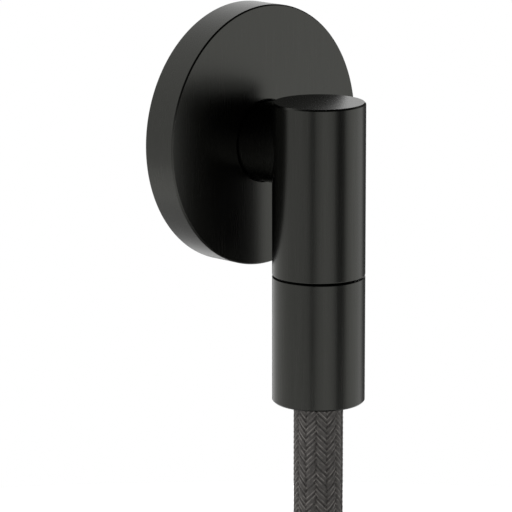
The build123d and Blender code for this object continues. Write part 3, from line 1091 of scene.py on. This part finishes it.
# %% Straps
def strap_finish():
    """Woven band: fine ribs along and across, from two waves on the strap's own map."""
    material, shader = new_finish("strap weave", (0.03, 0.03, 0.03), 0.85)
    place = add_node(material, "TexCoord")
    heights = []
    for direction, scale in (("X", 14.0), ("Y", 9.0)):
        ribs = add_node(material, "TexWave", Scale=scale, Distortion=0.4, Detail=1.0)
        ribs.bands_direction = direction
        wire(material, place.outputs["UV"], ribs.inputs["Vector"])
        heights.append(ribs.outputs["Fac"])
    weave = sum_of(material, "MULTIPLY", *heights)
    wire(material, shade_colour(material, weave, (0.015,) * 3, (0.05,) * 3), shader.inputs["Base Color"])
    relief(material, shader, weave, 0.00015)
    shader.inputs["Sheen Weight"].default_value = 0.3
    return material


# %% Put the finishes on
finishes = {
    "raw_brass": brass_finish("turned brass"),
    "bright_steel": steel_finish(),
    "seal_rubber": soft_finish("seal rubber", (0.012,) * 3, (0.03,) * 3, 0.55, 900, 0.000004),
    "foam_rubber": soft_finish("foam rubber", (0.02,) * 3, (0.06,) * 3, 0.9, 2500, 0.00006),
    "hose_rubber": hose_rubber_finish,
    "valve_plastic": soft_finish("valve plastic", (0.7, 0.7, 0.67), (0.8, 0.8, 0.77), 0.4, 500, 0.000003),
    "slip_plastic": soft_finish("slip plastic", (0.74, 0.74, 0.71), (0.84, 0.84, 0.81), 0.35, 500, 0.000003),
    "brushed_black": brushed_black,
}
for subpart in frame["record"]["subparts"]:
    node, slot_name = frame["nodes"][subpart["node"]], subpart["material_slot"]
    if not node.hide_render:
        node.data.materials.clear()
        node.data.materials.append(finishes[slot_name])
        print("kept", node.name, "as", slot_name)
wall_nipple.data.materials.append(finishes["raw_brass"])
spring.data.materials.append(finishes["bright_steel"])
outlet_nipple.data.materials.append(brass_finish("turned brass, coated neck", (NUT_TOP - 0.6) * MM))
strap_weave = strap_finish()
for strap in straps:
    strap.data.materials.append(strap_weave)

# %% [markdown]
# ## The studio
#
# A dark mirror shows nothing but the room, so the room is the light. White walls with
# three soft dark gaps stand round the object; they draw the upright streaks along the
# cylinder, and a black card behind it draws the fine dark line at its edges. To the
# camera the room is plain white. The floor glows: more towards its edge than under the
# object, where its unlit middle is a painted shadow pool, and paler still to the camera
# than to what the metal mirrors.

# %% Room
ROOM_STOPS = [
    # place round the room (0 to 1, where 0.1236 is behind the camera), brightness
    (0.000, 0.62), (0.052, 0.62), (0.069, 0.08), (0.086, 0.08), (0.105, 0.62), (0.165, 0.92),
    (0.222, 0.84), (0.250, 0.03), (0.291, 0.03), (0.336, 1.05), (0.385, 1.20), (0.470, 1.16),
    (0.512, 0.10), (0.580, 0.05), (0.602, 1.00), (0.800, 0.96), (0.930, 0.68),
]
CEILING_LEAN = 0.6          # the dark ceiling leans this much towards the camera's side
CEILING_START, CEILING_END, CEILING_LEVEL = 0.40, 0.75, 0.03


def build_room():
    world = bpy.data.worlds.new("studio")
    bpy.context.scene.world = world
    world.use_nodes = True
    direction = add_node(world, "TexCoord").outputs["Generated"]
    around = add_node(world, "TexGradient")
    around.gradient_type = "RADIAL"
    wire(world, direction, around.inputs["Vector"])
    stripes = add_node(world, "ValToRGB")
    ramp = stripes.color_ramp
    ramp.interpolation = "EASE"
    while len(ramp.elements) < len(ROOM_STOPS):
        ramp.elements.new(0.5)
    for element, (place, level) in zip(ramp.elements, ROOM_STOPS):
        element.position = place
        element.color = (level, level, level, 1)
    wire(world, around.outputs["Fac"], stripes.inputs["Fac"])
    height = add_node(world, "VectorMath", "DOT_PRODUCT")
    wire(world, direction, height.inputs[0])
    wire(world, (0, -CEILING_LEAN, 1), height.inputs[1])
    ceiling = ranged(world, height.outputs["Value"], CEILING_START, CEILING_END, 1.0, CEILING_LEVEL)
    walls = add_node(world, "VectorMath", "SCALE")
    wire(world, stripes.outputs["Color"], walls.inputs[0])
    wire(world, ceiling, walls.inputs["Scale"])
    seen = add_node(world, "LightPath").outputs["Is Camera Ray"]
    look = blend(world, seen, walls.outputs["Vector"], (1, 1, 1, 1))
    wire(world, look, world.node_tree.nodes["Background"].inputs["Color"])


build_room()
bpy.context.scene.view_settings.view_transform = "Standard"

# %% Floor
FLOOR_Z = cad_box[0][2] - 0.02
FLOOR_REACH = 0.9       # small enough for the cylinder to mirror the room's walls
# the floor glows to camera rays by this much more, so it shows paler than what the metal mirrors
FLOOR_LIFT = 0.35       # how much paler the floor is to the camera than to the metal
# the floor glows towards its edge; its unlit middle is a painted shadow pool under the object
GLOW_START, GLOW_END, GLOW = 0.43, 0.6, 0.8     # the floor's edge fades into the white


def add_floor():
    rings = np.array([[0.0, FLOOR_Z], [FLOOR_REACH / 2, FLOOR_Z], [FLOOR_REACH, FLOOR_Z]])
    mesh = mesh_from_grid("floor", turned(rings, 64), close_rows=False)
    finish, shader = new_finish("pale glowing floor", (0.9, 0.9, 0.9), 0.8)
    # The floor glows though it is no lamp: no glow in its middle, which leaves a painted shadow pool under
    # the object, full glow towards its edge, and more to camera rays.
    shader.inputs["Emission Color"].default_value = (1, 1, 1, 1)
    distance = add_node(finish, "VectorMath", "LENGTH")
    wire(finish, add_node(finish, "TexCoord").outputs["Object"], distance.inputs[0])
    glow = ranged(finish, distance.outputs["Value"], GLOW_START, GLOW_END, 0.0, GLOW)
    seen = add_node(finish, "LightPath").outputs["Is Camera Ray"]
    strength = sum_of(finish, "MULTIPLY_ADD", seen, FLOOR_LIFT, glow)
    wire(finish, strength, shader.inputs["Emission Strength"])
    mesh.materials.append(finish)
    floor = new_object("floor", mesh)


add_floor()

# %% Black card
CARD_DISTANCE = 0.85
CARD_HEIGHT = 0.27
CARD_HALF_ANGLE = math.radians(12)
CARD_BEARING = math.radians(184)    # round from behind the camera, over its right side


def black_card():
    """A card on the floor behind the object, which draws the fine dark line at its edges."""
    behind_camera = np.array([math.sin(VIEW_AZIMUTH), -math.cos(VIEW_AZIMUTH)])
    camera_right = np.array([math.cos(VIEW_AZIMUTH), math.sin(VIEW_AZIMUTH)])
    outward = math.cos(CARD_BEARING) * behind_camera + math.sin(CARD_BEARING) * camera_right
    along = np.array([-outward[1], outward[0]]) * CARD_DISTANCE * math.tan(CARD_HALF_ANGLE)
    left, right = outward * CARD_DISTANCE - along, outward * CARD_DISTANCE + along
    top = FLOOR_Z + CARD_HEIGHT
    corners = [(*left, FLOOR_Z), (*right, FLOOR_Z), (*right, top), (*left, top)]
    mesh = mesh_from_quads("black_card", np.array(corners), np.array([[0, 1, 2, 3]]))
    card = new_object("black_card", mesh)
    card.visible_camera = False
    card_finish, _ = new_finish("black card", (0.01, 0.01, 0.01), 1.0)
    mesh.materials.append(card_finish)


black_card()

# %% [markdown]
# ## Size
#
# The box of the engineering model was kept at the start, and is printed here.

# %% Print the engineering model's box
print("cad box", np.round(cad_box, 4).tolist())
